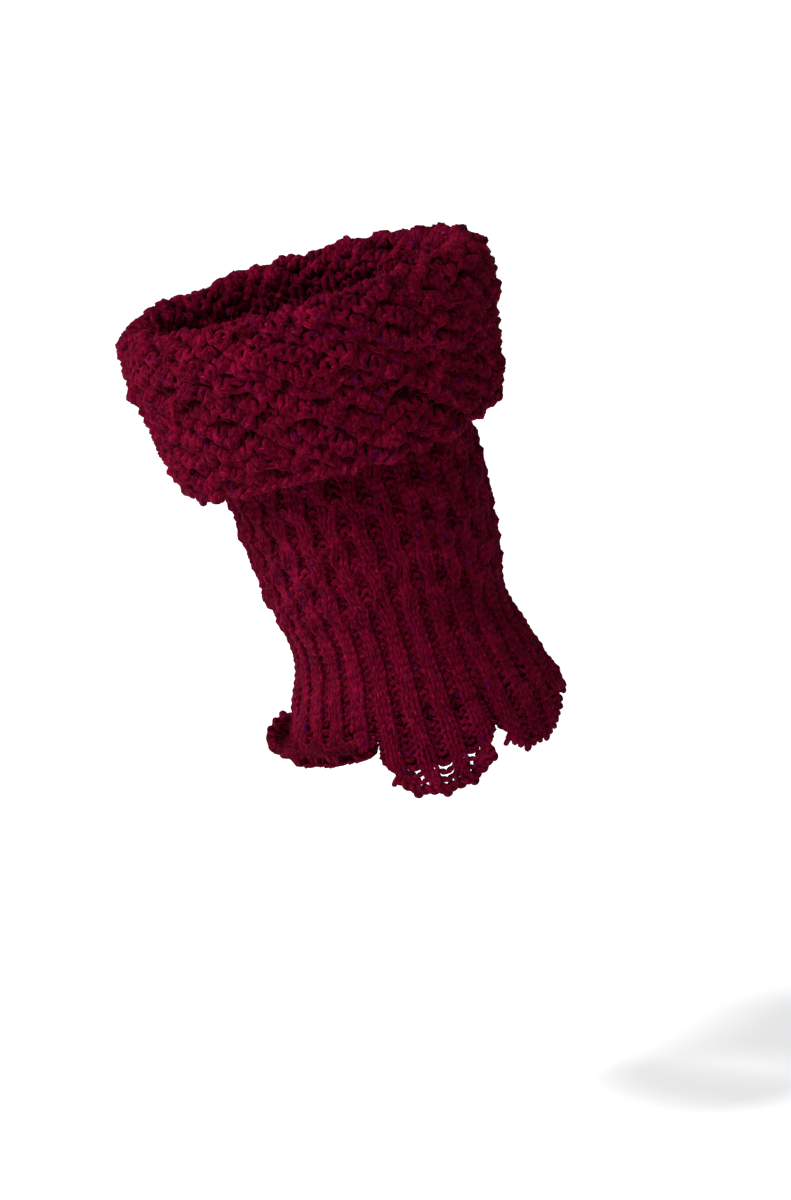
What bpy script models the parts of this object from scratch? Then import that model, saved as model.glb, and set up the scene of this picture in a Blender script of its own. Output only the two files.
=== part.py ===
"""A knitted boot cuff in its worn form: ribbed leg, scalloped picot hem, turned-down collar.

The cuff is worked out upright, in millimetres: height along the leg's axis above the grip
ring, radius from that axis, and azimuth round it (0 at the front, positive to the right).
Every piece hangs from one empty that leans the whole cuff to the left, as a leg leans.

A knitted wall is a loft: a grid of points on the face that shows, a grid behind it, and the
strips that join their ends. The back is worked out from the same sections as the face, so
that the ends of two neighbouring stretches lie parallel, which an offset along the mesh's
own normals doesn't give. The rib is two knit columns and one sunk purl column.
"""

import math
from collections import namedtuple

import bpy
import numpy as np

MM = 0.001
NAME = "knitted_boot_cuff"

# Driving dimensions, in millimetres and degrees
WALL = 3.0                  # thickness of the knitted cloth
SEAM_GAP = 0.3              # clearance between neighbouring stretches of the knit
LEAN = 16.6                 # the leg's axis leans this far to the left of upright
SCALLOPS_ROUND = 7
RIBS_PER_SCALLOP = 4
COLUMNS_PER_RIB = 3         # knit, knit, purl
RIB_DEPTH = 1.3             # how far a purl column lies below its two knit columns
FRONT_CENTRE = 5.0          # azimuth of the front scallop's middle
RIB_TOP = 4.0               # height where plain rib turns into the leaf pattern
RIB_FOOT = -22.0            # height where the rib divides into scallops
LAYER_TOP = 97.0            # height where the leg stretch ends and the collar begins
FOLD_HEIGHT = 102.0         # centre of the collar's fold
FOLD_RADIUS = 5.0           # radius of the fold's outer face
FOLD_CENTRE = 51.0          # distance of the fold's centre from the ring's centre
COLLAR_FOOT = 58.6          # height where the turned-down cloth meets its cast-on edge
EDGE_CORD = 2.0             # radius of the collar's cast-on edge
PICOT_CORD = 1.4            # radius of the bound-off hem edge
PICOT_SWELL = 0.5           # how much thicker that edge is at a picot
PICOT_EVERY = 3             # stitches from one picot to the next
PICOT_GAP = 0.5             # clearance of the hem edge, wider where it bends with a curl
NOTCH_LENGTH = 4.6          # the last stretch beside a notch, where the cloth draws in
SCALLOP_ROUNDNESS = (2.2, 0.6)

LEG_COLUMNS = 56            # facets round the patterned leg and the collar
LEG_ROWS = (RIB_TOP + SEAM_GAP, 25.0, 54.0, 70.0, 86.0, 92.0, LAYER_TOP)
RIB_ROWS = (RIB_FOOT, -18.0, -13.0, -6.0, RIB_TOP)
FOLD_STEPS = 5
COLLAR_ROWS = (97.0, 88.0, 78.0, 68.0, 58.6)
SCALLOP_ROWS = 6

RIBS_ROUND = SCALLOPS_ROUND * RIBS_PER_SCALLOP
RIB_COLUMNS = RIBS_ROUND * COLUMNS_PER_RIB
SCALLOP_COLUMNS = RIBS_PER_SCALLOP * COLUMNS_PER_RIB
SCALLOP_ANGLE = 360.0 / SCALLOPS_ROUND
FIRST_NOTCH = FRONT_CENTRE - SCALLOP_ANGLE / 2

# Outer face of the leg and of the turned-down collar: height and radius of each ring, and
# how far its centre lies to the right of the axis
Ring = namedtuple("Ring", "height radius aside")
LEG_RINGS = (
    Ring(-22.0, 40.3, -0.5),    # where the scallops begin
    Ring(-18.0, 39.0, -0.4),
    Ring(-13.0, 37.1, -0.2),
    Ring(-7.2, 35.2, 0.0),
    Ring(0.0, 34.2, 0.0),       # grip ring
    Ring(6.0, 34.8, 0.0),
    Ring(14.4, 36.2, 0.0),
    Ring(25.0, 37.5, 0.0),
    Ring(36.0, 38.4, 0.0),
    Ring(54.0, 39.0, 0.0),      # under the collar's lower edge
    Ring(66.0, 41.0, 0.0),
    Ring(78.0, 44.4, 0.2),
    Ring(86.0, 47.0, 0.3),
    Ring(92.0, 48.6, 0.3),
    Ring(97.0, 49.0, 0.3),
)
COLLAR_RINGS = (
    Ring(54.5, 47.4, 0.0),
    Ring(58.6, 50.0, 0.0),
    Ring(68.0, 52.5, 0.0),
    Ring(76.0, 53.7, 0.0),
    Ring(83.0, 55.3, 0.2),
    Ring(90.0, 56.8, 0.3),
    Ring(97.0, 57.1, 0.3),
    Ring(102.0, 56.0, 0.3),
)

# Slow waves of the turned-down layer: where, how wide, how far out it swells and drops at
# its lower edge, and how far the rim dips
Wave = namedtuple("Wave", "azimuth spread swell drop dip")
COLLAR_WAVES = (
    Wave(-58.0, 22.0, 0.9, 0.9, 0.0),
    Wave(-14.0, 18.0, -0.6, -0.5, 0.3),
    Wave(30.0, 24.0, 0.6, 0.9, -0.3),
    Wave(88.0, 40.0, -0.5, -0.8, 1.6),
    Wave(135.0, 25.0, 1.0, 1.1, 0.4),
    Wave(-165.0, 28.0, -0.7, -0.6, 0.6),
    Wave(-112.0, 24.0, 0.5, 0.4, 0.0),
)

# One row for each scallop, to the right from the front one: the length of its cloth beside
# its left and right notches, how much deeper its middle hangs, the share of that length
# that curls, and the curl's radius (outwards when positive)
Scallop = namedtuple("Scallop", "name left right depth curled radius")
SCALLOPS = (
    Scallop("front", 12.0, 12.0, 9.5, 0.75, -45.0),
    Scallop("front_right", 12.0, 6.0, 9.5, 0.80, -30.0),
    Scallop("right", 6.0, 7.5, 6.5, 0.60, -40.0),
    Scallop("back_right", 7.5, 9.0, 9.5, 0.65, -60.0),
    Scallop("back_left", 9.0, 8.0, 9.5, 0.60, -80.0),
    Scallop("left", 8.0, 6.5, 3.0, 0.48, 1.7),
    Scallop("front_left", 6.5, 8.5, 3.0, 0.50, 1.8),
)

# Principled BSDF colour (linear), roughness
Yarn = namedtuple("Yarn", "name colour roughness")
RIB_YARN = Yarn("rib_wool", (0.075, 0.0025, 0.012, 1.0), 0.90)
PATTERN_YARN = Yarn("pattern_wool", (0.068, 0.0022, 0.011, 1.0), 0.92)
COLLAR_YARN = Yarn("collar_wool", (0.082, 0.0030, 0.014, 1.0), 0.92)
SCALLOP_YARN = Yarn("scallop_wool", (0.080, 0.0030, 0.013, 1.0), 0.90)
EDGE_YARN = Yarn("edging_wool", (0.090, 0.0035, 0.016, 1.0), 0.88)


def clear_scene():
    """Remove whatever the open file holds, and give the cuff a collection of its own."""
    for stale in list(bpy.data.objects):
        bpy.data.objects.remove(stale, do_unlink=True)
    group = bpy.data.collections.new(NAME)
    bpy.context.scene.collection.children.link(group)
    return group


def lean_empty(group):
    """The empty on the leg's axis at the grip ring; it leans everything parented to it."""
    empty = bpy.data.objects.new("leg_axis", None)
    empty.rotation_euler = (0.0, -math.radians(LEAN), 0.0)
    group.objects.link(empty)
    return empty


def wool(yarn):
    """A Principled BSDF with a yarn's colour and roughness."""
    material = bpy.data.materials.new(yarn.name)
    material.use_nodes = True
    shader = material.node_tree.nodes["Principled BSDF"]
    shader.inputs["Base Color"].default_value = yarn.colour
    shader.inputs["Roughness"].default_value = yarn.roughness
    shader.inputs["Metallic"].default_value = 0.0
    return material


def through_rings(height, rings, column):
    """A column of a ring table at a height: a cubic through its rows with central slopes."""
    table_height = np.array([ring.height for ring in rings])
    value = np.array([getattr(ring, column) for ring in rings])
    slope = np.gradient(value, table_height)
    low = np.clip(np.searchsorted(table_height, height) - 1, 0, len(rings) - 2)
    step = table_height[low + 1] - table_height[low]
    t = (np.asarray(height) - table_height[low]) / step
    rise = (3 - 2 * t) * t * t
    return (value[low] * (1 - rise) + value[low + 1] * rise
            + step * slope[low] * t * (1 - t) ** 2 - step * slope[low + 1] * t * t * (1 - t))


def to_points(radius, azimuth, height, aside=0.0):
    """Cylinder coordinates (millimetres, degrees) to upright points, as one array.

    The rings' centres lie the given distance to the right of the axis.
    """
    angle = np.radians(azimuth)
    return np.stack(np.broadcast_arrays(radius * np.sin(angle) + aside,
                                        -radius * np.cos(angle), height), axis=-1)


def rib_sink(column):
    """How far each stitch column lies below the rib's face: the purl columns are sunk."""
    return np.where(np.asarray(column) % COLUMNS_PER_RIB == 0, RIB_DEPTH, 0.0)


def strip(lower, upper):
    """Quads between two rows of point numbers, facing the viewer who sees them so."""
    return np.stack([lower[:, :-1], lower[:, 1:], upper[:, 1:], upper[:, :-1]],
                    axis=-1).reshape(-1, 4)


def cloth_wall(name, face, back, joined_round, yarn, group, parent):
    """A closed wall between two grids of points, rows downwards and columns to the right."""
    rows, columns = face.shape[:2]
    front = np.arange(rows * columns).reshape(rows, columns)
    if joined_round:
        front = np.concatenate([front, front[:, :1]], axis=1)
    rear = front + rows * columns
    quads = [strip(front[1:], front[:-1]), strip(rear[:-1], rear[1:]),
             strip(front[:1], rear[:1]), strip(rear[-1:], front[-1:])]
    if not joined_round:
        quads += [strip(front[:, :1].T, rear[:, :1].T)[:, ::-1],
                  strip(front[:, -1:].T, rear[:, -1:].T)]
    points = np.concatenate([face.reshape(-1, 3), back.reshape(-1, 3)])
    mesh = bpy.data.meshes.new(name)
    mesh.from_pydata((points * MM).tolist(), [], np.concatenate(quads).tolist())
    mesh.shade_smooth()
    mesh.set_sharp_from_angle(angle=math.radians(50))
    mesh.materials.append(wool(yarn))
    wall = bpy.data.objects.new(name, mesh)
    group.objects.link(wall)
    wall.parent = parent


def edge_cord(name, centre, radius, joined_round, yarn, group, parent):
    """A cord along a row of points, with a radius for each, on a beveled polyline."""
    curve = bpy.data.curves.new(name, "CURVE")
    curve.dimensions = "3D"
    curve.bevel_depth = MM
    curve.bevel_resolution = 1
    curve.use_fill_caps = True
    curve.materials.append(wool(yarn))
    spline = curve.splines.new("POLY")
    spline.points.add(len(centre) - 1)
    spline.points.foreach_set("co", np.column_stack([centre * MM, np.ones(len(centre))]).ravel())
    spline.points.foreach_set("radius", np.broadcast_to(radius, len(centre)).astype(float))
    spline.use_cyclic_u = joined_round
    cord = bpy.data.objects.new(name, curve)
    group.objects.link(cord)
    cord.parent = parent
    if not joined_round:
        weld = cord.modifiers.new("close the caps", "WELD")
        weld.merge_threshold = 0.00005
    return cord


def ribbed_leg(group, parent):
    """The plain rib, from the leaf pattern down to the scallops."""
    column = np.arange(RIB_COLUMNS)
    height = np.array(RIB_ROWS[::-1])[:, None]
    azimuth = FIRST_NOTCH + column * 360.0 / RIB_COLUMNS
    radius = through_rings(height, LEG_RINGS, "radius") - rib_sink(column)
    aside = through_rings(height, LEG_RINGS, "aside")
    cloth_wall("leg_rib", to_points(radius, azimuth, height, aside),
               to_points(radius - WALL, azimuth, height, aside), True, RIB_YARN, group, parent)


def patterned_leg(group, parent):
    """The leaf-patterned stretch, which runs on up inside the collar to the fold."""
    column = np.arange(LEG_COLUMNS)
    height = np.array(LEG_ROWS[::-1])[:, None]
    azimuth = FIRST_NOTCH + column * 360.0 / LEG_COLUMNS
    furrow = np.where(column % 2 == 0, RIB_DEPTH, 0.0)
    radius = through_rings(height, LEG_RINGS, "radius") - furrow
    aside = through_rings(height, LEG_RINGS, "aside")
    cloth_wall("leg_pattern", to_points(radius, azimuth, height, aside),
               to_points(radius - WALL, azimuth, height, aside), True, PATTERN_YARN,
               group, parent)


def collar_wave(azimuth):
    """Sum of the collar's slow waves at an azimuth: its swell, its drop and the rim's dip."""
    total = np.zeros((3, len(azimuth)))
    for wave in COLLAR_WAVES:
        away = (azimuth - wave.azimuth + 180.0) % 360.0 - 180.0
        share = np.exp(-(away / wave.spread) ** 2)
        total += np.outer([wave.swell, wave.drop, wave.dip], share)
    return total


def collar_section():
    """The collar's face in section, from the fold's inner side over to its lower end."""
    turn = np.radians(np.linspace(180.0, 0.0, FOLD_STEPS + 1))
    fold_radius = FOLD_CENTRE + FOLD_RADIUS * np.cos(turn)
    fold_height = FOLD_HEIGHT + FOLD_RADIUS * np.sin(turn)
    inner_radius = [FOLD_CENTRE - FOLD_RADIUS]
    inner_height = [LAYER_TOP + SEAM_GAP]
    outer_height = np.array(COLLAR_ROWS)
    outer_radius = through_rings(outer_height, COLLAR_RINGS, "radius")
    height = np.concatenate([inner_height, fold_height, outer_height])
    return (np.concatenate([inner_radius, fold_radius, outer_radius]), height,
            through_rings(height, COLLAR_RINGS, "aside"))


def collar_face():
    """Grid of the collar's face; the waves grow from nothing at the fold to the edge."""
    section_radius, section_height, aside = collar_section()
    azimuth = FIRST_NOTCH + np.arange(LEG_COLUMNS) * 360.0 / LEG_COLUMNS
    swell, drop, dip = collar_wave(azimuth)
    row = np.arange(len(section_radius))
    span = FOLD_HEIGHT - COLLAR_FOOT
    grown = np.where(row > FOLD_STEPS + 1, (FOLD_HEIGHT - section_height) / span, 0.0)[:, None]
    dipped = np.where(row > 0, 1.0, 0.0)[:, None] - grown
    radius = section_radius[:, None] + swell * grown
    height = section_height[:, None] - drop * grown - dip * dipped
    return radius, azimuth, height, aside[:, None]


def collar(group, parent):
    """The turned-down collar and the cast-on cord along its lower end."""
    radius, azimuth, height, aside = collar_face()
    outward = np.gradient(radius, axis=0)
    upward = np.gradient(height, axis=0)
    length = np.hypot(outward, upward)
    outward /= length
    upward /= length
    cloth_wall("collar", to_points(radius, azimuth, height, aside),
               to_points(radius + WALL * upward, azimuth, height - WALL * outward, aside),
               True, COLLAR_YARN, group, parent)
    reach = SEAM_GAP + EDGE_CORD
    cord_radius = radius[-1] + WALL / 2 * upward[-1] + reach * outward[-1]
    cord_height = height[-1] - WALL / 2 * outward[-1] + reach * upward[-1]
    edge_cord("collar_edge", to_points(cord_radius, azimuth, cord_height, aside[-1]),
              EDGE_CORD, True, EDGE_YARN, group, parent)


def scallop_outline(row):
    """Flat outline of a scallop: lateral places of its top and lower ends, and its lengths."""
    power, bluntness = SCALLOP_ROUNDNESS
    across = np.linspace(-1.0, 1.0, SCALLOP_COLUMNS + 1)
    foot_radius = through_rings(RIB_FOOT, LEG_RINGS, "radius")
    half_width = (foot_radius * math.radians(SCALLOP_ANGLE) - SEAM_GAP) / 2
    cord_room = 2 * PICOT_CORD + PICOT_GAP
    beside = row.left + (row.right - row.left) * (across + 1) / 2
    longest = beside + row.depth * (1 - np.abs(across) ** power) ** bluntness
    return across * half_width, across * (half_width - cord_room), longest


def leg_slant():
    """The leg's slant out of upright where the rib divides, in radians."""
    foot, above = RIB_ROWS[:2]
    spread = (through_rings(foot, LEG_RINGS, "radius")
              - through_rings(above, LEG_RINGS, "radius"))
    return math.atan2(spread, above - foot)


def scallop_turn(row, down, longest):
    """Straight length and angle out of upright of a scallop's columns at a length down."""
    straight = np.minimum(down, (1 - row.curled) * longest)
    return straight, leg_slant() + (down - straight) / row.radius


def scallop_surface(row, centre, lateral, down, longest, sunk):
    """Bend flat scallop cloth into place, sunk along its normal by the given depth.

    Each column runs straight on from the leg, and from where its curled part begins it
    follows an arc; the lateral place is an arc length round the leg.
    """
    slant = leg_slant()
    straight, turn = scallop_turn(row, down, longest)
    start = through_rings(RIB_FOOT, LEG_RINGS, "radius")
    aside = through_rings(RIB_FOOT, LEG_RINGS, "aside")
    radius = (start + straight * math.sin(slant)
              + row.radius * (math.cos(slant) - np.cos(turn)) - sunk * np.cos(turn))
    height = (RIB_FOOT - SEAM_GAP - straight * math.cos(slant)
              - row.radius * (np.sin(turn) - math.sin(slant)) - sunk * np.sin(turn))
    return to_points(radius, centre + np.degrees(lateral / start), height, aside)


def outline_normals(lateral, down):
    """Unit normals of a flat outline at its points, pointing off the cloth, with their mitres."""
    step = np.stack([np.diff(lateral), np.diff(down)], axis=-1)
    step /= np.linalg.norm(step, axis=-1, keepdims=True)
    away = np.stack([-step[:, 1], step[:, 0]], axis=-1)
    normal = np.concatenate([away[:1], away[:-1] + away[1:], away[-1:]])
    normal /= np.linalg.norm(normal, axis=-1, keepdims=True)
    mitre = 1 / np.concatenate([[1.0], np.sum(normal[1:-1] * away[1:], axis=-1), [1.0]])
    return normal, mitre


def scallop(row, centre, group, parent):
    """One scallop of ribbed cloth and the bound-off picot edge along its lower end."""
    top, bottom, longest = scallop_outline(row)
    share = np.linspace(0.0, 1.0, SCALLOP_ROWS)[:, None]
    drawn_in = np.sqrt(np.clip((longest * (share - 1) + NOTCH_LENGTH) / NOTCH_LENGTH, 0, 1))
    lateral = top + (bottom - top) * drawn_in
    face = scallop_surface(row, centre, lateral, longest * share, longest, 0.0)
    back = scallop_surface(row, centre, lateral, longest * share, longest, WALL)
    cloth_wall("scallop_" + row.name, face, back, False, SCALLOP_YARN, group, parent)

    stitch = np.arange(SCALLOP_COLUMNS + 1)
    cord_radius = PICOT_CORD + np.where(stitch % PICOT_EVERY == 1, PICOT_SWELL, 0.0)
    normal, mitre = outline_normals(bottom, longest)
    sideways, onwards = (normal * ((cord_radius + PICOT_GAP) * mitre)[:, None]).T
    turn = scallop_turn(row, longest, longest)[1]
    azimuth = centre + np.degrees(bottom / through_rings(RIB_FOOT, LEG_RINGS, "radius"))
    middle = scallop_surface(row, centre, bottom, longest, longest, WALL / 2)
    centre_line = (middle + to_points(sideways, azimuth + 90.0, 0.0)
                   + to_points(onwards * np.sin(turn), azimuth, -onwards * np.cos(turn)))
    edge_cord("picot_edge_" + row.name, centre_line, cord_radius, False, EDGE_YARN,
              group, parent)


def build_cuff():
    """All the stretches of the cuff, from the plain rib outwards."""
    group = clear_scene()
    axis = lean_empty(group)
    ribbed_leg(group, axis)
    patterned_leg(group, axis)
    collar(group, axis)
    for place, row in enumerate(SCALLOPS):
        scallop(row, FRONT_CENTRE + place * SCALLOP_ANGLE, group, axis)


build_cuff()
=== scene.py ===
"""A knitted boot cuff in heather wool, knitted here loop by loop.

Everything is worked out upright, in millimetres: height along the leg's axis above the grip
ring, radius from that axis and azimuth round it, counted in stitch columns (84 round, 0 at
the first notch of the hem). The last step leans the cuff as the leg leans.

Each stretch of cloth is a place function: it takes a column, a distance along the knit and a
distance off the cloth's middle, and gives a point. A thin ground shell and the yarn's loops
are both laid through it, so they follow the same ribs, leaves, folds and curls.
"""

import math
from collections import namedtuple

import bpy
import numpy as np
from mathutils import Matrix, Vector


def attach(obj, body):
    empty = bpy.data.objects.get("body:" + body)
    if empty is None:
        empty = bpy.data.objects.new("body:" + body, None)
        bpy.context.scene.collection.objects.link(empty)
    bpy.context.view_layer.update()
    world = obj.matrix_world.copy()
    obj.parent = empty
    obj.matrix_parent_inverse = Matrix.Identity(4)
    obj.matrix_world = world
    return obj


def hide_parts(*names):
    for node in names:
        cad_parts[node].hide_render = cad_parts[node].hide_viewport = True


bl_info = {
    "name": "Knitted Boot Cuff",
    "version": (1, 0, 0),
    "blender": (4, 5, 0),
    "location": "View3D > Sidebar > Cuff",
    "description": "Knits a boot cuff, loop by loop, on its modelled walls",
    "category": "Object",
}

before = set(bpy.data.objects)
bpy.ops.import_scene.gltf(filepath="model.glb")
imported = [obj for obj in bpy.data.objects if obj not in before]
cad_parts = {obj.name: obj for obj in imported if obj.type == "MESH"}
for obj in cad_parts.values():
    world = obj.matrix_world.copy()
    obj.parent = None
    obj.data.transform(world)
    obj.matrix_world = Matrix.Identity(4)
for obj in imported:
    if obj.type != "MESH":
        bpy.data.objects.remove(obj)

MM = 0.001
TURN = 2 * math.pi

# The knit's count, the cuff's lean and its heights and radii, as the solids have them
COLUMNS = 84                # stitch columns round
SCALLOPS_ROUND = 7
SCALLOP_COLUMNS = COLUMNS // SCALLOPS_ROUND
HALF_SCALLOP = SCALLOP_COLUMNS / 2
COLUMNS_PER_RIB = 3         # purl, knit, knit
LEAN = math.radians(16.6)
FRONT_CENTRE = 5.0          # azimuth of the front scallop's middle, degrees
FIRST_NOTCH = FRONT_CENTRE - 180.0 / SCALLOPS_ROUND
MIDDLE = 1.7                # depth of the cloth's middle under the solids' outer face
RIB_TOP = 4.0               # plain rib below, leaf pattern above
RIB_FOOT = -22.0            # the rib divides into scallops
LEG_TOP = 97.0              # the leg's knit ends inside the collar
SEAM_GAP = 0.3              # clearance between stretches of knit
FOLD_HEIGHT = 102.0         # centre of the collar's fold
FOLD_RADIUS = 5.0           # radius of the fold's outer face
FOLD_CENTRE = 51.0          # distance of the fold's centre from the axis
COLLAR_FOOT = 58.6          # the turned-down cloth meets its cast-on edge
PICOT_CORD = 1.4            # radius of the hem's edge
PICOT_GAP = 0.5             # clearance between the cloth and that edge
SCALLOP_ROUNDNESS = (2.2, 0.6)

# The knit's own shape: shifts in columns, depths in millimetres
NARROWING = 0.13            # how far columns shift towards their rib's middle
SPLIT_DEPTH = 0.45          # depth of the line between a rib's two knit columns
STITCH_STEPS = 12           # points along the yarn in one stitch
COLLAR_LOOP_DEPTH = 1.15    # how far a collar loop goes off the cloth's middle
PURL_FULLER = 0.20          # how much fuller the yarn lies in a purl column
MOSS_KNIT = -0.6            # a knit of the moss stitch lies flatter than its purl
CORD_FOOT = 2.6             # how far the collar's cloth runs down into its cast-on edge
FOLD_COURSE = 13            # course at which the collar's outer yarn ends
OPEN_COURSES = 3            # the front scallop's last courses, open as ladders

# How high wool lies, from 0 deep in painted shade to 1 proud and fully lit, as painted light and
# shade on its colour: at rest, and by loop, relief, side of the strand
PAINTED_LIGHT_AT_REST = 0.62
PAINTED_LIGHT_BY_LOOP = 0.25
PAINTED_SHADE_BY_RELIEF = 0.42
PAINTED_SHADE_BY_SIDE = 0.30
# Painted light: an outward curl's wool is painted as lit all over
CURL_PAINTED_LIGHT = 0.85           # all over an outward curl

# Outer face of the leg and of the turned-down collar: height, radius, centre to the right
RADIUS, ASIDE = 1, 2
LEG_RINGS = np.array([
    (-24.0, 41.0, -0.5), (-22.0, 40.3, -0.5), (-18.0, 39.0, -0.4), (-13.0, 37.1, -0.2),
    (-7.2, 35.2, 0.0), (0.0, 34.2, 0.0), (6.0, 34.8, 0.0), (14.4, 36.2, 0.0),
    (25.0, 37.5, 0.0), (36.0, 38.4, 0.0), (54.0, 39.0, 0.0), (66.0, 41.0, 0.0),
    (78.0, 44.4, 0.2), (86.0, 47.0, 0.3), (92.0, 48.6, 0.3), (99.0, 49.1, 0.3)])
COLLAR_RINGS = np.array([
    (54.5, 47.4, 0.0), (58.6, 50.0, 0.0), (68.0, 52.5, 0.0), (76.0, 53.7, 0.0),
    (83.0, 55.3, 0.2), (90.0, 56.8, 0.3), (97.0, 57.1, 0.3), (102.0, 56.0, 0.3)])

# Slow waves of the collar: azimuth, spread, swell, drop of the edge, dip of the rim
COLLAR_WAVES = np.array([
    (-58.0, 22.0, 0.9, 0.9, 0.0), (-14.0, 18.0, -0.6, -0.5, 0.3), (30.0, 24.0, 0.6, 0.9, -0.3),
    (88.0, 40.0, -0.5, -0.8, 1.6), (135.0, 25.0, 1.0, 1.1, 0.4),
    (-165.0, 28.0, -0.7, -0.6, 0.6), (-112.0, 24.0, 0.5, 0.4, 0.0)])

# Scallops to the right from the front one: the cloth's length beside its notches, how much
# deeper its middle hangs, the share that curls and the curl's radius, below 0 for inwards
Scallop = namedtuple("Scallop", "name left right hang curled curve")
SCALLOPS = (
    Scallop("front", 12.0, 12.0, 9.5, 0.75, -45.0),
    Scallop("front_right", 12.0, 6.0, 9.5, 0.80, -30.0),
    Scallop("right", 6.0, 7.5, 6.5, 0.60, -40.0),
    Scallop("back_right", 7.5, 9.0, 9.5, 0.65, -60.0),
    Scallop("back_left", 9.0, 8.0, 9.5, 0.60, -80.0),
    Scallop("left", 8.0, 6.5, 3.0, 0.48, 1.7),
    Scallop("front_left", 6.5, 8.5, 3.0, 0.50, 1.8))

# One stretch's yarn: course pitch, radius, way off the cloth's middle, sideways draw of a
# loop in columns, points a stitch, sides of a strand
Gauge = namedtuple("Gauge", "pitch radius depth draw steps sides")

# Flecks in the heather yarn, by noise stretched along the strand: colour, scale, shift,
# detail, roughness, and the values where they begin and are full
FLECKS = (
    ("purple", (0.22, 2.0, 1.0), (40.0, 9.0, 0.0), 2.0, 0.5, 0.58, 0.68),
    ("ink", (0.34, 3.0, 1.0), (90.0, 3.0, 0.0), 2.0, 0.5, 0.62, 0.72),
    ("pale", (0.5, 15.0, 1.0), (20.0, 31.0, 0.0), 3.0, 0.7, 0.56, 0.78))

# The stage, in metres and watts; a lamp has a name, place, power and width
FLOOR_HEIGHT = -0.170
FLOOR_REACH = 9.0
FLOOR_GLOW = 0.36
SKY_STRENGTH = 0.14
LAMPS = (("front", (-0.1, -1.5, 1.3), 5.5, 0.6), ("left", (-1.6, -0.1, 0.6), 24.0, 0.7))
SUN_STRENGTH = 3.2
SUN_WIDTH = math.radians(14.0)
SUN_WAY = (0.9, 0.75, -1.3)
CAMERA_SENSOR = 24.0
CAMERA_LENS = 106.67
CAMERA_RISE = math.radians(12.5)
CAMERA_AWAY = 1.6
CAMERA_TARGET = (-0.00075, 0.0, 0.0048)


def unit(vectors):
    """Vectors divided by their lengths."""
    return vectors / np.maximum(np.linalg.norm(vectors, axis=-1, keepdims=True), 1e-12)


def ease(share):
    """Smooth step: 3s^2 - 2s^3 of a share held between 0 and 1."""
    share = np.clip(share, 0.0, 1.0)
    return share * share * (3 - 2 * share)


def through_rings(height, rings, column):
    """A ring table's column at a height: a cubic through its rows with central slopes."""
    table, value = rings[:, 0], rings[:, column]
    slope = np.gradient(value, table)
    low = np.clip(np.searchsorted(table, height) - 1, 0, len(rings) - 2)
    step = table[low + 1] - table[low]
    t = (height - table[low]) / step
    rise = (3 - 2 * t) * t * t
    return (value[low] * (1 - rise) + value[low + 1] * rise
            + step * slope[low] * t * (1 - t) ** 2 - step * slope[low + 1] * t * t * (1 - t))


def leaned(radius, azimuth, height, aside):
    """Cylinder coordinates to points in metres, leaned with the leg.

    x = radius sin(azimuth) + aside, y = -radius cos(azimuth), z = height, all turned about Y
    by the lean.
    """
    angle = np.radians(azimuth)
    x, y, z = np.broadcast_arrays(radius * np.sin(angle) + aside, -radius * np.cos(angle),
                                  height)
    return np.stack([x * math.cos(LEAN) - z * math.sin(LEAN), y,
                     x * math.sin(LEAN) + z * math.cos(LEAN)], axis=-1) * MM


class Drift:
    """Slow unevenness of hand-fed yarn: a sum of sine waves over column and distance.

    Each wave goes a whole number of times round. Shortest and longest are in stitches.
    """

    STITCH_HEIGHT = 2.5

    def __init__(self, seed, waves, shortest, longest):
        random = np.random.default_rng(seed)
        most = int(COLUMNS / shortest)
        self.round = random.integers(-most, most, waves)
        self.rate = 1 / random.uniform(shortest * self.STITCH_HEIGHT,
                                       longest * self.STITCH_HEIGHT, waves)
        self.phase = random.uniform(0, TURN, waves)

    def __call__(self, column, along):
        total = 0.0
        for turns, rate, phase in zip(self.round, self.rate, self.phase):
            total = total + np.sin(TURN * (turns * column / COLUMNS + rate * along) + phase)
        return total / math.sqrt(len(self.phase) / 2)


SIDEWAYS = Drift(3, 9, 3.0, 9.0)
ENDWAYS = Drift(5, 9, 3.0, 9.0)
OUTWARDS = Drift(8, 9, 4.0, 12.0)
COARSE = Drift(13, 8, 2.2, 4.0)


# ---- place functions ---------------------------------------------------------------------

def narrowed(column):
    """Columns drawn together in the ribs and spread in the gutters: c + k sin(2 pi c / 3)."""
    return column + NARROWING * np.sin(TURN * column / COLUMNS_PER_RIB)


def gutter_share(column):
    """1 in the middle of a purl column, falling smoothly to 0 at the ribs beside it."""
    reach = 1.05
    away = np.abs((column + 1.5) % COLUMNS_PER_RIB - 1.5)
    return ease(1 - away / reach)


def split_share(column):
    """1 on the line between a rib's two knit columns, a narrow Gaussian about it."""
    width = 0.27
    return np.exp(-(((column % COLUMNS_PER_RIB) - 1.5) / width) ** 2)


def rib_relief(column, knit):
    """How far the ribs' gutters and splits lie under the knit columns, as a negative."""
    return -knit.gutter * gutter_share(column) - SPLIT_DEPTH * split_share(column)


def rib_shade(column):
    """Painted shade in gutters and splits: how deep their wool counts as lying, for darkening
    its colour.
    """
    return 0.75 * gutter_share(column) + 0.5 * split_share(column)


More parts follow.
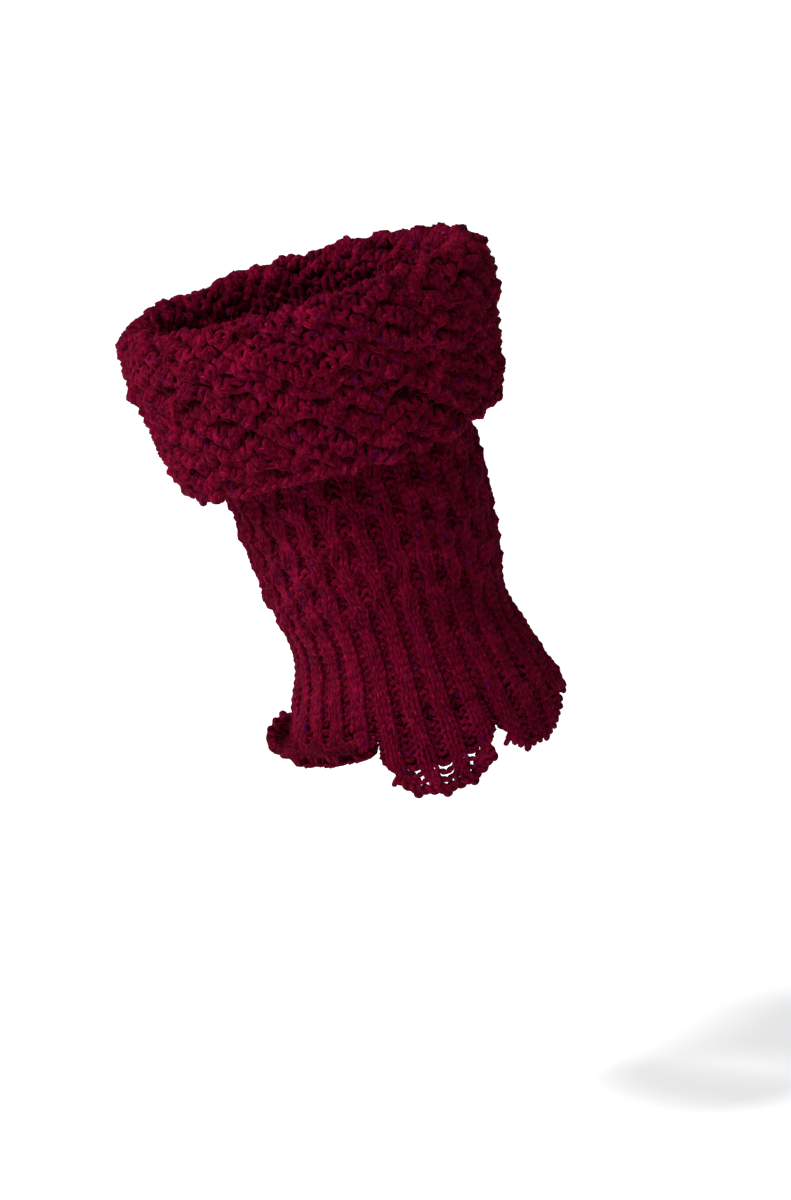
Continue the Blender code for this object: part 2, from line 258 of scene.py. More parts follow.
def leaf(column, height, knit):
    """Leaf clusters of the patterned leg: how far out, and how the columns draw together.

    Leaves follow each other at one pitch up every purl column, staggered by half of it from
    one to the next. Each is a Gaussian in column and height, with a pit between one leaf and
    the next; the columns draw in under it and fan out over it. Sines make them uneven.
    """
    first_leaf, fade_in = 6.0, 4.0
    rib = np.round(column / COLUMNS_PER_RIB)
    away = column - rib * COLUMNS_PER_RIB
    raised = (height - RIB_TOP - first_leaf + (rib % 2) * knit.leaf_pitch / 2
              + 1.1 * np.sin(rib * 2.4))
    turn = np.round(raised / knit.leaf_pitch)
    up = raised - turn * knit.leaf_pitch
    size = 1 + 0.35 * np.sin(rib * 5.1 + turn * 3.7)
    share = ease((height - RIB_TOP) / fade_in)
    bump = np.exp(-(away / 1.0) ** 2 - (up / 2.5) ** 2) * size * share
    pit = np.exp(-(away / 0.6) ** 2 - ((np.abs(up) - knit.leaf_pitch / 2) / 2.2) ** 2) * share
    drawn_in = 0.42 * np.exp(-((up + 2.6) / 1.7) ** 2)
    fanned_out = 0.30 * np.exp(-((up - 1.6) / 1.8) ** 2)
    draw = np.exp(-(away / 1.5) ** 2) * away * size * share * (drawn_in - fanned_out)
    pit_depth = 0.6
    return knit.leaf_height * bump - pit_depth * pit, -draw


def leg_place(knit):
    """Place function of the leg: the ring table's radius, the rib's relief, leaves, drift.

    With it, as with those below, comes sunk(column, height): how deep the wool looks, which
    darkens its colour as painted shade.
    """
    def place(column, height, out):
        bump, draw = leaf(column, height, knit)
        wobble = knit.unevenness * 0.07 * SIDEWAYS(column, height)
        radius = (through_rings(height, LEG_RINGS, RADIUS) - MIDDLE + out
                  + rib_relief(column, knit) + bump
                  + knit.unevenness * 0.20 * OUTWARDS(column, height))
        azimuth = FIRST_NOTCH + (narrowed(column) + draw + wobble) * 360.0 / COLUMNS
        lifted = height + knit.unevenness * 0.16 * ENDWAYS(column, height)
        return leaned(radius, azimuth, lifted, through_rings(height, LEG_RINGS, ASIDE))

    def sunk(column, height):
        # Painted shade in the gutters and splits, painted light on the raised leaves
        return rib_shade(column) - 0.45 * leaf(column, height, knit)[0]
    return place, sunk


def collar_section():
    """The middle of the collar's cloth in section, from its foot over the fold and inside.

    The outer face is the ring table, a half circle and a short straight; the middle lies one
    depth under it along the section's normal (rise, -run). Returns distance along the middle,
    radius, height, the normal's two parts, aside, and the share of the lower edge's waves.
    """
    outer = np.linspace(COLLAR_FOOT - CORD_FOOT, FOLD_HEIGHT, 90)
    turn = np.linspace(0, math.pi, 61)[1:]
    inner = np.linspace(FOLD_HEIGHT, LEG_TOP, 12)[1:]
    height = np.concatenate([outer, FOLD_HEIGHT + FOLD_RADIUS * np.sin(turn), inner])
    radius = np.concatenate([through_rings(outer, COLLAR_RINGS, RADIUS),
                             FOLD_CENTRE + FOLD_RADIUS * np.cos(turn),
                             np.full(len(inner), FOLD_CENTRE - FOLD_RADIUS)])
    step = np.stack([np.gradient(radius), np.gradient(height)])
    step /= np.linalg.norm(step, axis=0)
    off_radius, off_height = step[1], -step[0]
    grown = np.concatenate([(FOLD_HEIGHT - outer) / (FOLD_HEIGHT - COLLAR_FOOT),
                            np.zeros(len(turn) + len(inner))])
    aside = through_rings(np.minimum(height, FOLD_HEIGHT), COLLAR_RINGS, ASIDE)
    radius = radius - MIDDLE * off_radius
    height = height - MIDDLE * off_height
    along = np.concatenate([[0.0], np.cumsum(np.hypot(np.diff(radius), np.diff(height)))])
    return along, radius, height, off_radius, off_height, aside, grown


SECTION = collar_section()
COLLAR_LENGTH = SECTION[0][-1]


def collar_cell(column, along, knit):
    """The nubby texture's cells: blocks of two columns and two courses in turn, as +1 and -1.

    The product of two rounded square waves, tanh(k sin), each a block long.
    """
    squareness = 2.2
    lane = np.tanh(squareness * np.sin(TURN * column / 4.0))
    course = np.tanh(squareness * np.sin(TURN * along / (4.0 * knit.collar_pitch)))
    return lane * course


def collar_relief(column, along, knit):
    """How far the nubby texture stands out: cells, wavy ridges and drift.

    It fades out over the last millimetres inside the fold.
    """
    fade = 6.0
    ridge = np.cos(TURN * along / (2 * knit.collar_pitch)
                   + 1.5 * np.sin(TURN * column / 4.0 + 0.4 * np.sin(along / 5.0)))
    return ease((COLLAR_LENGTH - along) / fade) * (
        knit.cell_height * (0.50 * collar_cell(column, along, knit) + 0.80 * ridge)
        + knit.unevenness * (0.30 * OUTWARDS(column, along) + 0.42 * COARSE(column, along)))


def collar_place(knit):
    """Place function of the collar: the section's middle, its relief, waves and drift."""
    def place(column, along, out):
        values = [np.interp(along, SECTION[0], column_of) for column_of in SECTION[1:]]
        radius, height, off_radius, off_height, aside, grown = values
        azimuth = FIRST_NOTCH + column * 360.0 / COLUMNS
        swell, drop, dip = 0.0, 0.0, 0.0
        for centre, spread, swells, drops, dips in COLLAR_WAVES:
            share = np.exp(-(((azimuth - centre + 180.0) % 360.0 - 180.0) / spread) ** 2)
            swell, drop, dip = swell + swells * share, drop + drops * share, dip + dips * share
        off = out + collar_relief(column, along, knit)
        slide = 0.34 * np.sin(TURN * (along / (8.0 * knit.collar_pitch) + column / 8.0))
        azimuth = azimuth + (slide + knit.unevenness * 0.16 * SIDEWAYS(column, along)
                             ) * 360.0 / COLUMNS
        height = (height + off * off_height - drop * grown - dip * (1 - grown)
                  + knit.unevenness * 0.35 * ENDWAYS(column, along) * off_radius)
        return leaned(radius + swell * grown + off * off_radius, azimuth, height, aside)

    def sunk(column, along):
        # Painted shade in the hollows of the nubby relief, painted light on its nubs and ridges
        return 0.30 - 0.85 * collar_relief(column, along, knit) / knit.cell_height
    return place, sunk


def scallop_lengths(across, row):
    """Length of a scallop's cloth at places across it, from -1 to 1.

    A straight line between the notches plus hang (1 - |across|^power)^bluntness.
    """
    power, bluntness = SCALLOP_ROUNDNESS
    beside = row.left + (row.right - row.left) * (across + 1) / 2
    return beside + row.hang * (1 - np.minimum(np.abs(across), 1.0) ** power) ** bluntness


def leg_slant():
    """The leg's slant out of upright just above the scallops, in radians."""
    upper = RIB_FOOT + 4.0
    return math.atan2(through_rings(RIB_FOOT, LEG_RINGS, RADIUS)
                      - through_rings(upper, LEG_RINGS, RADIUS), upper - RIB_FOOT)


def scallop_place(row, number, knit):
    """Place function of a scallop: straight on from the leg, then along an arc.

    With turn = slant + curled length / curl radius, the radius grows by straight sin(slant) +
    R (cos(slant) - cos(turn)) and the height falls by straight cos(slant) + R (sin(turn) -
    sin(slant)); off the middle is along (cos(turn), sin(turn)). The cloth draws in and its
    ribs flatten towards the edge, and all over an outward curl.
    """
    drawn_in = 3.0
    start = through_rings(RIB_FOOT, LEG_RINGS, RADIUS)
    half_width = (start * TURN / SCALLOPS_ROUND - SEAM_GAP) / 2
    room = 2 * PICOT_CORD + PICOT_GAP
    slant = leg_slant()
    curled, curve = row.curled, row.curve

    def place(column, down, out):
        across = column / HALF_SCALLOP
        longest = scallop_lengths(across, row)
        pulled = np.clip((down - longest + drawn_in) / drawn_in, 0, 1.3) ** 0.7
        if curve > 0:
            ribbed = 1 - ease((down / longest - 1 + curled + 0.1) * 4)
        else:
            ribbed = ease(1.6 * (1.08 - down / longest))
        relief = rib_relief(column, knit) * ribbed
        whole = column + (number + 0.5) * SCALLOP_COLUMNS
        sunk = (MIDDLE - out - relief
                - knit.unevenness * 0.25 * OUTWARDS(whole, -down * 1.3))
        straight = np.minimum(down, (1 - curled) * longest)
        turn = slant + (down - straight) / curve
        radius = (start + straight * math.sin(slant)
                  + curve * (math.cos(slant) - np.cos(turn)) - sunk * np.cos(turn))
        height = (RIB_FOOT - SEAM_GAP - straight * math.cos(slant)
                  - curve * (np.sin(turn) - math.sin(slant)) - sunk * np.sin(turn))
        lateral = (narrowed(column) / HALF_SCALLOP * (half_width - room * pulled)
                   + knit.unevenness * 0.22 * SIDEWAYS(whole, down))
        azimuth = FRONT_CENTRE + number * 360.0 / SCALLOPS_ROUND + np.degrees(lateral / start)
        return leaned(radius, azimuth, height, through_rings(RIB_FOOT, LEG_RINGS, ASIDE))

    def sunk(column, down):
        # Painted shade in the gutters and splits, as on the leg
        return rib_shade(column)
    return place, sunk


# ---- meshes ------------------------------------------------------------------------------

def quad_mesh(name, points, quads, uv, material):
    """An object of quads from arrays: points, four point numbers a face, and a UV a corner."""
    mesh = bpy.data.meshes.new(name)
    mesh.vertices.add(len(points))
    mesh.vertices.foreach_set("co", points.ravel())
    mesh.loops.add(quads.size)
    mesh.loops.foreach_set("vertex_index", quads.ravel().astype(np.int32))
    mesh.polygons.add(len(quads))
    mesh.polygons.foreach_set("loop_start", np.arange(0, quads.size, 4, dtype=np.int32))
    layer = mesh.uv_layers.new(name="strand")
    layer.data.foreach_set("uv", uv.reshape(-1))
    mesh.update(calc_edges=True)
    mesh.shade_smooth()
    mesh.materials.append(material)
    piece = bpy.data.objects.new(name, mesh)
    bpy.context.scene.collection.objects.link(piece)
    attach(piece, "root")
    return piece


def square_uv(count):
    """The unit square's corners as UV, for each of a number of quads."""
    return np.tile(np.array([[0, 0], [1, 0], [1, 1], [0, 1]], dtype=float), (count, 1, 1))


def strands(name, path, facing, radius, sides, closed, proud=PAINTED_LIGHT_AT_REST,
            painted_side_shade=PAINTED_SHADE_BY_SIDE):
    """Tubes of yarn round an array of paths, in metres.

    With T along the path, A = T x facing and U = A x T, a corner lies at path + radius
    (-U cos(a) + A sin(a)) for angles a evenly round. UV is the length along the strand in
    millimetres, which starts elsewhere on each so that no two are streaked alike, and the
    share round it. The attribute that carries painted light and shade is lowest on the side
    away from facing, so that side of each strand is painted darker as shade.
    """
    if closed:
        along = np.roll(path, -1, axis=1) - np.roll(path, 1, axis=1)
    else:
        along = np.gradient(path, axis=1)
    along = unit(along)
    across = unit(np.cross(along, facing))
    up = np.cross(across, along)
    angle = TURN * np.arange(sides) / sides
    ring = (across[:, :, None] * np.sin(angle)[:, None]
            - up[:, :, None] * np.cos(angle)[:, None])
    points = path[:, :, None] + ring * np.broadcast_to(radius, path.shape[:2])[:, :, None, None]
    count, length = path.shape[:2]
    number = np.arange(count * length * sides).reshape(count, length, sides)
    after = np.roll(number, -1, axis=1)
    travelled = np.cumsum(np.linalg.norm(np.diff(path, axis=1), axis=-1), axis=1) / MM
    travelled = np.concatenate([np.zeros((count, 1)), travelled], axis=1)
    strand_shift, piece_shift, last_step = 37.3, 11.0, 0.4
    travelled = travelled + strand_shift * np.arange(count)[:, None] + piece_shift * len(name)
    ahead = np.concatenate([travelled[:, 1:], travelled[:, -1:] + last_step], axis=1)
    if not closed:
        number, after = number[:, :-1], after[:, :-1]
        travelled, ahead = travelled[:, :-1], ahead[:, :-1]
    quads = np.stack([number, after, np.roll(after, -1, axis=2), np.roll(number, -1, axis=2)],
                     axis=-1).reshape(-1, 4)
    share = np.arange(sides) / sides
    near = np.broadcast_to(travelled[:, :, None], travelled.shape + (sides,))
    far = np.broadcast_to(ahead[:, :, None], near.shape)
    low = np.broadcast_to(share, near.shape)
    high = low + 1 / sides
    uv = np.stack([np.stack([near, low], -1), np.stack([far, low], -1),
                   np.stack([far, high], -1), np.stack([near, high], -1)], axis=-2)
    piece = quad_mesh(name, points.reshape(-1, 3), quads, uv, yarn_wool())
    # Painted light and shade for the colour: less towards the side away from facing, a painted
    # shade on that side of the strand
    height = np.broadcast_to(proud, path.shape[:2])[:, :, None] - painted_side_shade * np.cos(angle)
    layer = piece.data.attributes.new("proud", "FLOAT", "POINT")
    layer.data.foreach_set("value", np.clip(height, 0, 1).ravel().astype(np.float32))
    return piece


def ground(name, place, column, along, closed):
    """A closed thin shell through a place function: two grids and the strips at their ends."""
    thick = knit_settings().ground_thickness
    face = place(column, along, thick / 2)
    back = place(column, along, -thick / 2)
    rows, columns = face.shape[:2]
    front = np.arange(rows * columns).reshape(rows, columns)
    if closed:
        front = np.concatenate([front, front[:, :1]], axis=1)
    rear = front + rows * columns

    def strip(lower, upper):
        return np.stack([lower[:, :-1], lower[:, 1:], upper[:, 1:], upper[:, :-1]],
                        axis=-1).reshape(-1, 4)
    quads = [strip(front[:-1], front[1:]), strip(rear[1:], rear[:-1]),
             strip(front[-1:], rear[-1:]), strip(rear[:1], front[:1])]
    if not closed:
        quads += [strip(front[:, :1].T, rear[:, :1].T),
                  strip(front[:, -1:].T, rear[:, -1:].T)[:, ::-1]]
    quads = np.concatenate(quads)
    points = np.concatenate([face.reshape(-1, 3), back.reshape(-1, 3)])
    return quad_mesh(name, points, quads, square_uv(len(quads)), gap_shade_material())


def rib_face(wale, course):
    """+1 where the purl side shows and -1 where the knit side does: purl, knit, knit."""
    return np.where(wale % COLUMNS_PER_RIB == 0, 1.0, -1.0) + 0 * course


def moss_face(wale, course):
    """Moss stitch: purl and knit in turn, both round and up."""
    return np.where((wale + course) % 2 == 0, 1.0, MOSS_KNIT)


def loop_turns(wales, steps):
    """The turn t of each point along a course: whole rounds close, a part of one is open."""
    if wales == COLUMNS:
        return TURN * np.arange(wales * steps) / steps
    return TURN * (np.arange(wales * steps + 1) / steps + 0.5)


def loops(laying, face, courses, first, t, level, pitch, gauge, flat=0.0):
    """Paths of knitted courses through a place function, the way they face, and the painted
    light and shade on their colour.

    For t from 0 to one turn a stitch, the column runs t + draw sin(2t), the height runs
    -(pitch + yarn)/2 cos(t), so each loop reaches into the next course, and the yarn goes off
    the middle by depth cos(2t), forwards at head and foot on a purl and backwards on a knit.
    Between a knit and a purl the sign changes smoothly. Flat is the share of its rise that a
    loop loses.
    """
    place, sunk = laying
    course = np.asarray(courses)[:, None]
    column = first - 0.5 + (t / TURN + gauge.draw * np.sin(2 * t))[None, :]
    plain = first - 0.5 + t[None, :] / TURN
    wale = np.floor(plain + 0.5).astype(int)
    lag = plain - wale
    own = face(wale, course)
    beside = face(wale + np.where(lag >= 0, 1, -1), course)
    held, changing = 0.22, 0.28
    side = own + (beside - own) * 0.5 * ease((np.abs(lag) - held) / changing)
    rise = -(pitch + 2 * gauge.radius) / 2 * np.cos(t)[None, :] * (1 - flat)
    along = level + rise
    column = column + 0 * along
    off = side * gauge.depth * np.cos(2 * t)[None, :]
    path = place(column, along, off)
    # Painted light and shade: loops forward of the middle lighter, wool sunk in the relief
    # painted darker as shade
    proud = (PAINTED_LIGHT_AT_REST + PAINTED_LIGHT_BY_LOOP * off / gauge.depth
             - PAINTED_SHADE_BY_RELIEF * sunk(column, along))
    return path, unit(place(column, along, off + 1.0) - path), proud


def fuzz(name, sources, count, longest, seed):
    """Loose fibres standing off the yarn.

    Each is a ribbon from a random corner of a source mesh: it leaves along the normal there
    mixed with a random way, bends by a second random way with the square of its length, and
    narrows to a tenth.
    """
    points_each, half_width, stray, bow = 3, 0.045, 0.9, 0.6
    random = np.random.default_rng(seed)
    places, normals = [], []
    for source in sources:
        mesh = source.data
        place = np.empty(len(mesh.vertices) * 3)
        normal = np.empty(len(mesh.vertices) * 3)
        mesh.vertices.foreach_get("co", place)
        mesh.vertex_normals.foreach_get("vector", normal)
        places.append(place.reshape(-1, 3))
        normals.append(normal.reshape(-1, 3))
    places, normals = np.concatenate(places), np.concatenate(normals)
    pick = random.integers(0, len(places), count)
    way = unit(normals[pick] + stray * random.normal(size=(count, 3)))
    bend = random.normal(size=(count, 3)) * stray
    length = longest * MM * random.uniform(0.35, 1.0, count) ** 1.5
    step = np.linspace(0, 1, points_each)[None, :, None]
    spine = places[pick][:, None] + length[:, None, None] * (
        way[:, None] * step + bend[:, None] * step ** 2 * bow)
    width = unit(np.cross(way, bend))[:, None] * half_width * MM * (1 - 0.9 * step)
    points = np.stack([spine - width, spine + width], axis=2)
    number = np.arange(count * points_each * 2).reshape(count, points_each, 2)
    quads = np.stack([number[:, :-1, 0], number[:, :-1, 1], number[:, 1:, 1],
                      number[:, 1:, 0]], axis=-1).reshape(-1, 4)
    return quad_mesh(name, points.reshape(-1, 3), quads, square_uv(len(quads)),
                     fibre_material())


# ---- materials ---------------------------------------------------------------------------

class Tree:
    """Small helper that adds and links the nodes of one material."""

    def __init__(self, name):
        self.material = bpy.data.materials.new(name)
        self.material.use_nodes = True
        self.tree = self.material.node_tree
        self.shader = self.tree.nodes["Principled BSDF"]

    def node(self, kind, **settings):
        made = self.tree.nodes.new(kind)
        for key, value in settings.items():
            setattr(made, key, value)
        return made

    def link(self, source, target):
        self.tree.links.new(source, target)

    def feed(self, value, socket):
        """Link a node's output to a socket, or set the socket to a plain value."""
        if hasattr(value, "default_value"):
            self.link(value, socket)
        else:
            socket.default_value = value

    def set(self, **values):
        """Feed the shader's own sockets, named with underscores for spaces."""
        for name, value in values.items():
            self.feed(value, self.shader.inputs[name.replace("_", " ")])

    def filled(self, kind, **values):
        """A node with its sockets fed, named with underscores for spaces."""
        made = self.node(kind)
        for name, value in values.items():
            self.feed(value, made.inputs[name.replace("_", " ")])
        return made

    def noise(self, vector, scale, detail, roughness=0.5):
        made = self.filled("ShaderNodeTexNoise", Vector=vector, Scale=scale, Detail=detail,
                           Roughness=roughness)
        return made.outputs["Fac"]

    def between(self, value, low, high):
        made = self.filled("ShaderNodeMapRange", Value=value, From_Min=low, From_Max=high)
        made.interpolation_type = "SMOOTHSTEP"
        return made.outputs["Result"]

    def mix(self, share, first, second):
        made = self.node("ShaderNodeMix", data_type="RGBA")
        self.link(share, made.inputs["Factor"])
        self.feed(first, made.inputs[6])
        self.feed(second, made.inputs[7])
        return made.outputs[2]

    def maths(self, operation, first, second=0.0):
        made = self.node("ShaderNodeMath", operation=operation)
        self.feed(first, made.inputs[0])
        self.feed(second, made.inputs[1])
        return made.outputs[0]

    def bumped(self, height, distance, strength=1.0):
        made = self.filled("ShaderNodeBump", Height=height, Strength=strength,
                           Distance=distance * MM)
        self.link(made.outputs["Normal"], self.shader.inputs["Normal"])

    def scaled(self, vector, factors, shift=(0.0, 0.0, 0.0)):
        made = self.filled("ShaderNodeMapping", Vector=vector, Scale=factors, Location=shift)
        return made.outputs["Vector"]


def opaque(colour):
    """A colour with full alpha."""
    return tuple(colour[:3]) + (1.0,)


def wool(name, tints):
    """Heather wool: dark, mid and bright fibres streaked along the yarn, with stray flecks.

    Noise stretched along the strand's UV and a broader noise in object space darken and
    brighten the mid colour; the flecks lie where further noises pass a threshold, and wool
    that lies deep is painted darker as shade. The bump is the ply's twist, a sine of length
    and share round, and fine noise stretched along the yarn.
    """
    tree = Tree(name)
    uv = tree.node("ShaderNodeUVMap", uv_map="strand").outputs["UV"]
    space = tree.node("ShaderNodeTexCoord").outputs["Object"]
    dark, mid, bright = (opaque(each) for each in (tints.dark, tints.mid, tints.bright))
    patchiness = 0.45
    streak = tree.noise(tree.scaled(uv, (0.55, 6.0, 1.0)), 1.0, 3.0, 0.65)
    broad = tree.noise(space, 140.0, 3.0)
    base = tree.mix(tree.between(streak, 0.32, 0.52), dark, mid)
    base = tree.mix(tree.between(streak, 0.52, 0.74), base, bright)
    lighter = tree.maths("MULTIPLY", tree.between(broad, 0.50, 0.72), patchiness)
    base = tree.mix(lighter, base, bright)
    darker = tree.maths("MULTIPLY", tree.between(broad, 0.46, 0.28), patchiness)
    base = tree.mix(darker, base, dark)
    for tint, scale, shift, detail, roughness, begins, full in FLECKS:
        stray = tree.noise(tree.scaled(uv, scale, shift), 1.0, detail, roughness)
        base = tree.mix(tree.between(stray, begins, full), base, opaque(getattr(tints, tint)))
    # Painted shade: wool that lies deep, or on a strand's shaded side, is mixed towards the
    # painted shade colour
    proud = tree.node("ShaderNodeAttribute", attribute_name="proud").outputs["Fac"]
    base = tree.mix(tree.between(proud, 0.0, 0.85), opaque(tints.painted_shade), base)

    twist_length, plies, ply_share = 3.4, 2, 0.35
    parts = tree.node("ShaderNodeSeparateXYZ")
    tree.link(uv, parts.inputs["Vector"])
    along = tree.maths("MULTIPLY", parts.outputs["X"], TURN / twist_length)
    twist = tree.maths("ADD", along, tree.maths("MULTIPLY", parts.outputs["Y"], TURN * plies))
    ply = tree.maths("ABSOLUTE", tree.maths("SINE", twist))
    fibre = tree.noise(tree.scaled(uv, (1.1, 17.0, 1.0)), 1.0, 3.0, 0.65)
    height = tree.maths("ADD", tree.maths("MULTIPLY", ply, ply_share), fibre)
    tree.bumped(height, 0.45, 0.9)
    tree.set(Base_Color=base, Roughness=0.92, Specular_IOR_Level=0.02, Sheen_Weight=0.01,
             Sheen_Roughness=0.45, Sheen_Tint=(0.9, 0.22, 0.32, 1.0))
    return tree.material


def ground_wool(name, colour):
    """The near-black sheet between the loops, painted dark as the shade in the knit's gaps: one
    colour mottled by noise, with a fibrous bump.
    """
    tree = Tree(name)
    space = tree.node("ShaderNodeTexCoord").outputs["Object"]
    half = opaque([0.5 * channel for channel in colour])
    base = tree.mix(tree.noise(space, 900.0, 3.0), half, opaque(colour))
    tree.bumped(tree.noise(space, 700.0, 4.0), 0.5)
    tree.set(Base_Color=base, Roughness=1.0, Specular_IOR_Level=0.0)
    return tree.material


def plain_material(name, colour, roughness, glow=0.0):
    """One colour, roughness and glow, with no pattern."""
    tree = Tree(name)
    tree.set(Base_Color=opaque(colour), Roughness=roughness, Specular_IOR_Level=0.15,
             Emission_Strength=glow)
    return tree.material


# ---- settings ----------------------------------------------------------------------------

def size(name, text, value, **more):
    """A float property with its name, description and default."""
    return bpy.props.FloatProperty(name=name, description=text, default=value, **more)


def colour(name, text, value):
    """A colour property with its name, description and default."""
    return bpy.props.FloatVectorProperty(name=name, description=text, default=value,
                                         subtype="COLOR", size=3, min=0.0, max=1.0)


class CuffKnit(bpy.types.PropertyGroup):
    """Sizes of the yarn and the knit, in millimetres."""

    yarn_radius: size("Leg yarn radius", "Radius of the yarn in the leg and hem", 0.86)
    collar_yarn_radius: size("Collar yarn radius", "Radius of the yarn in the collar", 1.20)
    course_pitch: size("Leg course pitch", "Height of one course of the leg", 2.47)
    collar_pitch: size("Collar course pitch", "Height of one course of the collar", 3.25)
    loop_depth: size("Loop depth", "How far a loop goes off the cloth's middle", 0.80)
    cell_height: size("Collar cell height", "How far the collar's nubs stand out", 1.0)
    gutter: size("Gutter depth", "Depth of a purl column under the ribs beside it", 1.6)
    leaf_pitch: size("Leaf pitch", "Height from one leaf to the next on a column", 10.6)
    leaf_height: size("Leaf height", "How far a leaf stands out", 1.9)
    unevenness: size("Unevenness", "Share of the knit's unevenness that is used", 1.0,
                     min=0.0, subtype="FACTOR")
    ground_thickness: size("Ground thickness", "Thickness of the shell between the loops", 0.7)
    fibre_length: size("Fibre length", "Length of the longest loose fibre", 3.2)


class CuffColours(bpy.types.PropertyGroup):
    """Colours of the heather yarn, its painted shade and highlights, and the stage."""

    dark: colour("Dark", "Darkest red fibres", (0.028, 0.0001, 0.0038))
    mid: colour("Mid", "Most of the fibres", (0.080, 0.0002, 0.0082))
    bright: colour("Bright", "Brightest red fibres", (0.205, 0.0020, 0.0240))
    purple: colour("Purple", "Purple fibres", (0.060, 0.0004, 0.0280))
    ink: colour("Ink", "Nearly black fibres", (0.016, 0.0001, 0.0070))
    pale: colour("Pale", "Pale fibres", (0.420, 0.0160, 0.058))
    # Painted shade: the colour that wool lying deep in the knit is darkened towards
    painted_shade: colour("Deep", "Wool that lies deep in the knit", (0.013, 0.0001, 0.0020))
    # Painted shade: the near-black sheet between the loops stands for the shade in the knit's
    # gaps
    ground: colour("Ground", "The wool between the loops", (0.012, 0.0001, 0.0018))
    # Painted highlight: loose fibres are coloured lighter than the yarn for the light they catch
    fibre: colour("Fibre", "Loose fibres that catch the light", (0.25, 0.007, 0.032))
    floor: colour("Floor", "The floor", (0.93, 0.93, 0.94))


def knit_settings():
    return bpy.context.scene.cuff_knit


def colours():
    return bpy.context.scene.cuff_colours


def shared(name, make):
    """A material that several pieces share: made once, then found by its name."""
    return bpy.data.materials.get(name) or make(name)


def yarn_wool():
    return shared("heather_wool", lambda label: wool(label, colours()))


def gap_shade_material():
    return shared("ground_wool", lambda label: ground_wool(label, colours().ground))


def fibre_material():
    return shared("fibre_wool", lambda label: plain_material(label, colours().fibre, 1.0))


def leg_gauge(knit, pitch=1.0, radius=1.0, draw=0.15, steps=STITCH_STEPS, sides=5):
    """The leg's yarn, with shares of its pitch and radius."""
    return Gauge(knit.course_pitch * pitch, knit.yarn_radius * radius, knit.loop_depth, draw,
                 steps, sides)


def knitted_round(name, laying, face, bottom, top, gauge, start=0, inside=False):
    """Closed courses from one level to another, evenly spaced, as one piece.

    Start is the number of the first course. A rib's yarn is fuller in its purl columns; yarn
    seen from inside the cuff is neither fuller there nor painted darker as shade, in its relief
    or on one side.
    """
    count = max(1, round((top - bottom) / gauge.pitch))
    space = (top - bottom) / count
    level = (bottom + (np.arange(count) + 0.5) * space)[:, None]
    turn = loop_turns(COLUMNS, gauge.steps)
    path, facing, proud = loops(laying, face, np.arange(count) + start, 0, turn, level, space,
                                gauge)
    if inside:
        return strands(name, path, facing, gauge.radius * MM, gauge.sides, True, painted_side_shade=0.0)
    fuller = PURL_FULLER * gutter_share(turn / TURN - 0.5) if face is rib_face else 0.0
    return strands(name, path, facing, gauge.radius * (1 + fuller) * MM, gauge.sides, True,
                   proud)


def ground_round(name, laying, along):
    """A ground shell all the way round at some distances, with two points a column."""
    column = np.linspace(0, COLUMNS, COLUMNS * 2, endpoint=False)[None, :]
    return ground(name, laying[0], column, along[:, None], True)


# ---- operators ---------------------------------------------------------------------------

class CUFF_OT_leg_rib(bpy.types.Operator):
    """Knit the plain rib of the leg"""

    bl_idname = "cuff.leg_rib"
    bl_label = "Leg Rib"

    def execute(self, context):
        knit = knit_settings()
        laying = leg_place(knit)
        shell = ground_round("leg_rib_ground", laying, np.linspace(RIB_FOOT, RIB_TOP, 12))
        yarn = knitted_round("leg_rib_yarn", laying, rib_face, RIB_FOOT, RIB_TOP,
                             leg_gauge(knit))
        loose = fuzz("leg_rib_fibres", [yarn], 5000, knit.fibre_length, seed=21)
        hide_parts("leg_rib")
        return {"FINISHED"}


class CUFF_OT_leg_pattern(bpy.types.Operator):
    """Knit the leaf-patterned leg, up inside the collar"""

    bl_idname = "cuff.leg_pattern"
    bl_label = "Leg Pattern"

    def execute(self, context):
        knit = knit_settings()
        laying = leg_place(knit)
        shell = ground_round("leg_pattern_ground", laying, np.linspace(RIB_TOP, LEG_TOP, 38))
        gauge = leg_gauge(knit)
        coarse = leg_gauge(knit, pitch=1.1, radius=1.15, draw=0.16, steps=8, sides=4)
        band = 11 * gauge.pitch
        middle, hidden = RIB_TOP + band, RIB_TOP + band + band
        lower = knitted_round("leg_pattern_yarn_lower", laying, rib_face, RIB_TOP, middle, gauge)
        upper = knitted_round("leg_pattern_yarn_upper", laying, rib_face, middle, hidden, gauge)
        inner = knitted_round("leg_pattern_yarn_inner", laying, rib_face, hidden, LEG_TOP,
                              coarse, inside=True)
        loose = fuzz("leg_pattern_fibres", [lower, upper], 8000, knit.fibre_length, seed=22)
        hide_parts("leg_pattern")
        return {"FINISHED"}


